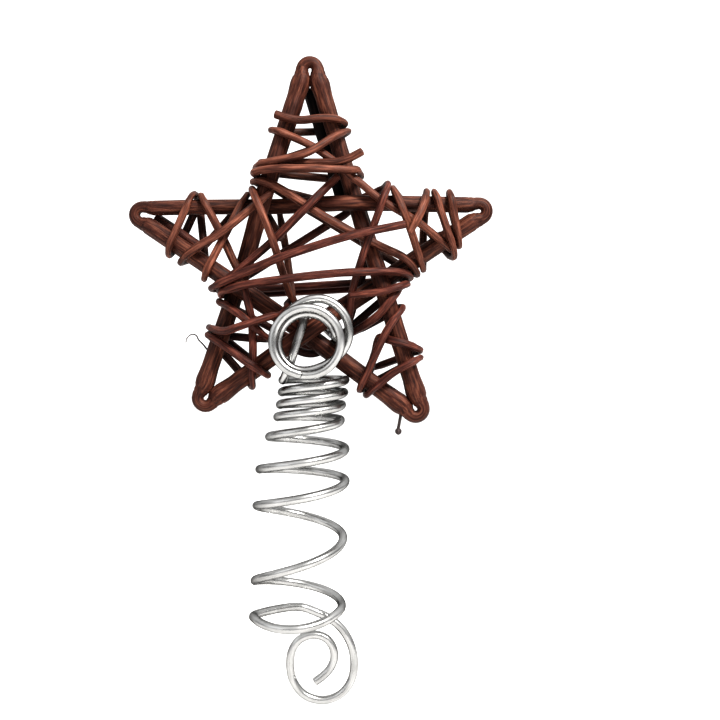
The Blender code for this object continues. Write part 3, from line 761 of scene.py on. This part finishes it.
def mesh_from_rings(name, rings, marks, closed, chance):
    count, sides = rings.shape[:2]
    across = np.arange(sides)
    nxt = (across + 1) % sides
    faces = []
    for k in range(count if closed else count - 1):
        a, b = k * sides, (k + 1) % count * sides
        faces += [(a + i, a + j, b + j, b + i) for i, j in zip(across, nxt)]
    if not closed:
        faces.append(tuple(range(sides))[::-1])
        faces.append(tuple(range((count - 1) * sides, count * sides)))
    mesh = bpy.data.meshes.new(name)
    mesh.from_pydata(rings.reshape(-1, 3).tolist(), [], [tuple(map(int, f)) for f in faces])
    grain = mesh.attributes.new("grain", "FLOAT_VECTOR", "POINT")
    offset = 0.0 if chance is None else chance.uniform(0.0, GRAIN_SHIFT)
    shifted = marks.reshape(-1, 3) + np.array((offset, 0.0, 0.0))
    grain.data.foreach_set("vector", shifted.astype(np.float32).ravel())
    mesh.shade_smooth()
    mesh.update()
    item = bpy.data.objects.new(name, mesh)
    bpy.context.scene.collection.objects.link(item)
    return item


# #### materials

def new_material(name):
    made = bpy.data.materials.new(name)
    made.use_nodes = True
    return made, made.node_tree.nodes, made.node_tree.links


def noise(nodes, links, vector, scale, detail, roughness):
    node = nodes.new("ShaderNodeTexNoise")
    node.inputs["Scale"].default_value = scale
    node.inputs["Detail"].default_value = detail
    node.inputs["Roughness"].default_value = roughness
    links.new(vector, node.inputs["Vector"])
    return node.outputs["Fac"]


def grain_noise(nodes, links, along, *look):
    """Noise on a vine or the wire, per mm, drawn out along it so that it makes streaks."""
    attribute = nodes.new("ShaderNodeAttribute")
    attribute.attribute_name = "grain"
    mapping = nodes.new("ShaderNodeMapping")
    mapping.inputs["Scale"].default_value = (along / MM, 1.0 / MM, 1.0 / MM)
    links.new(attribute.outputs["Vector"], mapping.inputs["Vector"])
    return noise(nodes, links, mapping.outputs["Vector"], *look)


def ramp(nodes, links, fac, stops):
    node = nodes.new("ShaderNodeValToRGB")
    node.color_ramp.elements.remove(node.color_ramp.elements[1])
    for k, (place_on, colour) in enumerate(stops):
        stop = node.color_ramp.elements[0] if k == 0 else node.color_ramp.elements.new(place_on)
        stop.position = place_on
        stop.color = (*colour, 1.0)
    links.new(fac, node.inputs["Fac"])
    return node.outputs["Color"]


def mix_colours(nodes, links, blend, fac, first, second):
    node = nodes.new("ShaderNodeMix")
    node.data_type = "RGBA"
    node.blend_type = blend
    node.inputs[0].default_value = fac
    links.new(first, node.inputs[6])
    links.new(second, node.inputs[7])
    return node.outputs[2]


def rescale(nodes, links, value, source, target):
    """The value, moved from its source range to the target range."""
    node = nodes.new("ShaderNodeMapRange")
    node.inputs["From Min"].default_value, node.inputs["From Max"].default_value = source
    node.inputs["To Min"].default_value, node.inputs["To Max"].default_value = target
    links.new(value, node.inputs["Value"])
    return node.outputs["Result"]


def add_bump(nodes, links, shader, height, strength, distance):
    bump = nodes.new("ShaderNodeBump")
    bump.inputs["Strength"].default_value = strength
    bump.inputs["Distance"].default_value = distance
    links.new(height, bump.inputs["Height"])
    links.new(bump.outputs["Normal"], shader.inputs["Normal"])


def painted_depth_shade(nodes, links):
    """Painted shade: how dark the bark is by how deep it lies in the star."""
    split = nodes.new("ShaderNodeSeparateXYZ")
    links.new(nodes.new("ShaderNodeTexCoord").outputs["Object"], split.inputs["Vector"])
    depth = rescale(nodes, links, split.outputs["Y"], (-DEPTH, DEPTH), (0.0, 1.0))
    return ramp(nodes, links, depth, [(place_on, (shade,) * 3) for place_on, shade in PAINTED_DEPTH_SHADE])


def bark_material(name, dark, middle, light, roughness):
    """Bark: fine streaks along the vine, slower patches, dark furrows and painted shade deep inside
    the star.
    """
    made, nodes, links = new_material(name)
    shader = nodes["Principled BSDF"]
    streaks = grain_noise(nodes, links, *STREAKS)
    furrows = grain_noise(nodes, links, *FURROWS)
    patches = grain_noise(nodes, links, *PATCHES)
    colour = ramp(nodes, links, streaks, zip(STREAK_STOPS, (dark, middle, light)))
    tint = ramp(nodes, links, patches, PATCH_TINTS)
    colour = mix_colours(nodes, links, "MULTIPLY", 1.0, colour, tint)
    groove = ramp(nodes, links, furrows, FURROW_TINTS)
    colour = mix_colours(nodes, links, "MULTIPLY", FURROW_STRENGTH, colour, groove)
    # painted shade: the bark is multiplied darker deep inside the star
    colour = mix_colours(nodes, links, "MULTIPLY", 1.0, colour, painted_depth_shade(nodes, links))
    links.new(colour, shader.inputs["Base Color"])
    sheen = rescale(nodes, links, streaks, (0.0, 1.0), [roughness + more for more in SHEEN_SPREAD])
    links.new(sheen, shader.inputs["Roughness"])
    height = nodes.new("ShaderNodeMath")
    height.operation = "ADD"
    links.new(streaks, height.inputs[0])
    links.new(furrows, height.inputs[1])
    add_bump(nodes, links, shader, height.outputs["Value"], *BARK_BUMP)
    shader.inputs["Specular IOR Level"].default_value = BARK_SPECULAR
    return made


def wire_material(name):
    """Drawn wire: bright, with faint streaks along it and a slightly uneven polish."""
    made, nodes, links = new_material(name)
    shader = nodes["Principled BSDF"]
    lines = grain_noise(nodes, links, *DRAW_LINES)
    clouds = grain_noise(nodes, links, *WIRE_CLOUDS)
    colour = ramp(nodes, links, clouds, WIRE_COLOURS)
    scratch = ramp(nodes, links, lines, DRAW_TINTS)
    colour = mix_colours(nodes, links, "MULTIPLY", DRAW_STRENGTH, colour, scratch)
    links.new(colour, shader.inputs["Base Color"])
    polish = rescale(nodes, links, clouds, (0.0, 1.0), WIRE_POLISH)
    links.new(polish, shader.inputs["Roughness"])
    add_bump(nodes, links, shader, lines, *WIRE_BUMP)
    shader.inputs["Metallic"].default_value = 1.0
    shader.inputs["Specular Tint"].default_value = WIRE_EDGE
    return made


def floor_material(name):
    """Pale paper with faint flecks."""
    made, nodes, links = new_material(name)
    shader = nodes["Principled BSDF"]
    place_on_floor = nodes.new("ShaderNodeTexCoord").outputs["Object"]
    flecks = noise(nodes, links, place_on_floor, *FLECKS)
    dimmer = tuple(value * FLECK_SHADE for value in PAPER)
    colour = ramp(nodes, links, flecks, zip(FLECK_STOPS, (dimmer, PAPER)))
    links.new(colour, shader.inputs["Base Color"])
    shader.inputs["Roughness"].default_value = PAPER_ROUGHNESS
    return made


# #### pieces

def dress(piece, node, finish):
    piece.data.materials.append(finish)
    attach(piece, "root")
    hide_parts(node)


def dress_frame(finish, chance):
    points, radii = frame_path(*LOOP_STEPS)
    fine = smooth_closed(points, TUBE_STEP)
    at = [int(np.argmin(np.linalg.norm(points - p, axis=1))) for p in fine]
    full = radii[at] * FRAME_FULLNESS * beside_eyes(fine)
    piece = tube_mesh("frame_bark", fine, full, FRAME_SIDES, chance, closed=True)
    dress(piece, "frame_vine", finish)


def beside_eyes(points):
    """How much fuller the frame's bark is where the eyes at its tips close."""
    away = np.min([np.linalg.norm(points - bend_middle(name), axis=1) for name in EYE_TIPS],
                  axis=0)
    return 1.0 + EYE_FULLNESS * np.clip(1.0 - np.abs(away - EYE_PLACE) / EYE_REACH, 0.0, 1.0)


def smooth_closed(points, step):
    """A closed line with even steps."""
    loop = np.vstack((points, points[:1]))
    return even_line(loop, step)[:-1]


def dress_vines(wire, finishes, chance):
    for name, (line, radii) in vine_lines(wire).items():
        fine = smooth_line(thinned(line, VINE_THINNING), TUBE_STEP)
        along = np.linspace(0.0, len(line) - 1.0, len(fine))
        full = np.interp(along, range(len(line)), radii) * BARK_FULLNESS
        piece = tube_mesh(name + "_bark", fine, full, VINE_SIDES, chance)
        dress(piece, name, finishes[TONES[name]])


def thinned(line, every):
    """Every so many points of a line, and its last one."""
    left = list(range(0, len(line) - 1, every)) + [len(line) - 1]
    return line[left]


def dress_wire(wire, finish):
    fine = smooth_line(wire[::WIRE_THINNING], TUBE_STEP)
    piece = tube_mesh("bright_wire", fine, np.full(len(fine), WIRE_RADIUS), WIRE_SIDES)
    dress(piece, "spring_wire", finish)


def dress_stray_ends(fibre_finish, bud_finish, chance):
    fibre = smooth_line([place(x, z, -FIBRE_BEHIND) for x, z in FIBRE], TUBE_STEP / 2)
    thin = np.linspace(1.0, FIBRE_END, len(fibre)) * FIBRE_RADIUS
    piece = tube_mesh("fibre_strand", fibre, thin, STRAY_SIDES, chance)
    dress(piece, "stray_fibre", fibre_finish)
    root_in_bark = (STALK[0][0] + STALK_SINK[0], STALK[0][1] + STALK_SINK[1])
    stalk = smooth_line([place(x, z) for x, z in (root_in_bark,) + STALK], TUBE_STEP / 2)
    stalk_radii = np.full(len(stalk), STALK_RADIUS)
    piece = tube_mesh("stalk_bark", stalk, stalk_radii, STRAY_SIDES, chance)
    dress(piece, "stalk", bud_finish)
    middle = stalk[-1] + np.array((0.0, 0.0, -BUD_SINK))
    heights = np.linspace(BUD_POLE, -BUD_POLE, BUD_LEVELS)
    line = middle + np.outer(heights * BUD_RADIUS, np.array((0.0, 0.0, 1.0)))
    round_radii = BUD_RADIUS * np.sqrt(1.0 - heights**2)
    piece = tube_mesh("bud_scale", line, round_radii, BUD_SIDES, chance)
    dress(piece, "bud", bud_finish)


# #### room

def area_light(name, place_at, size, power, colour):
    """A soft light that faces the star's middle."""
    data = bpy.data.lights.new(name, "AREA")
    data.shape = "RECTANGLE"
    data.size, data.size_y = size
    data.energy = power
    data.color = colour
    item = bpy.data.objects.new(name, data)
    bpy.context.scene.collection.objects.link(item)
    item.location = place_at
    direction = place(0.0, 0.0) - np.array(place_at)
    flat = math.hypot(direction[0], direction[1])
    item.rotation_euler = (math.atan2(flat, -direction[2]), 0.0,
                           math.atan2(-direction[0], direction[1]))


def build_floor():
    low = cad_box[0][2] - FLOOR_DROP
    half = FLOOR_SIZE / 2
    mesh = bpy.data.meshes.new("floor")
    mesh.from_pydata([(-half, -half, low), (half, -half, low), (half, half, low),
                      (-half, half, low)], [], [(0, 1, 2, 3)])
    floor = bpy.data.objects.new("floor", mesh)
    mesh.materials.append(floor_material("pale floor"))
    bpy.context.scene.collection.objects.link(floor)


def build_world():
    """A pale room: grey walls in front and at the sides, white behind and overhead."""
    world = bpy.data.worlds.new("studio")
    world.use_nodes = True
    nodes, links = world.node_tree.nodes, world.node_tree.links
    direction = nodes.new("ShaderNodeTexCoord").outputs["Generated"]
    split = nodes.new("ShaderNodeSeparateXYZ")
    links.new(direction, split.inputs["Vector"])
    backwards = rescale(nodes, links, split.outputs["Y"], (-1.0, 1.0), (0.0, 1.0))
    walls = ramp(nodes, links, backwards, WALLS)
    ceiling = ramp(nodes, links, split.outputs["Z"], CEILING)
    room = mix_colours(nodes, links, "LIGHTEN", 1.0, walls, ceiling)
    shade = nodes["Background"]
    links.new(room, shade.inputs["Color"])
    shade.inputs["Strength"].default_value = WORLD_STRENGTH
    bpy.context.scene.world = world


def build_camera():
    data = bpy.data.cameras.new("camera")
    data.sensor_width = SENSOR
    data.lens = FOCAL_PIXELS / PICTURE_PIXELS * SENSOR
    data.clip_start = CAMERA_CLIP
    camera = bpy.data.objects.new("camera", data)
    camera.location = CAMERA_PLACE
    camera.rotation_euler = (math.pi / 2, 0.0, 0.0)
    bpy.context.scene.collection.objects.link(camera)
    bpy.context.scene.camera = camera


def build_room():
    build_floor()
    build_world()
    build_camera()
    for name, light in LIGHTS.items():
        area_light(name, *light)
    bpy.context.scene.view_settings.view_transform = "Standard"
    bpy.context.scene.view_settings.look = "High Contrast"


def main():
    chance = np.random.default_rng(GRAIN_SEED)
    finishes = {name: bark_material(name, *look) for name, look in BARKS.items()}
    wire = wire_path()
    dress_frame(finishes["frame bark"], chance)
    dress_vines(wire, finishes, chance)
    dress_wire(wire, wire_material("bright wire"))
    dress_stray_ends(finishes["grey fibre"], finishes["dark bud"], chance)
    build_room()


main()
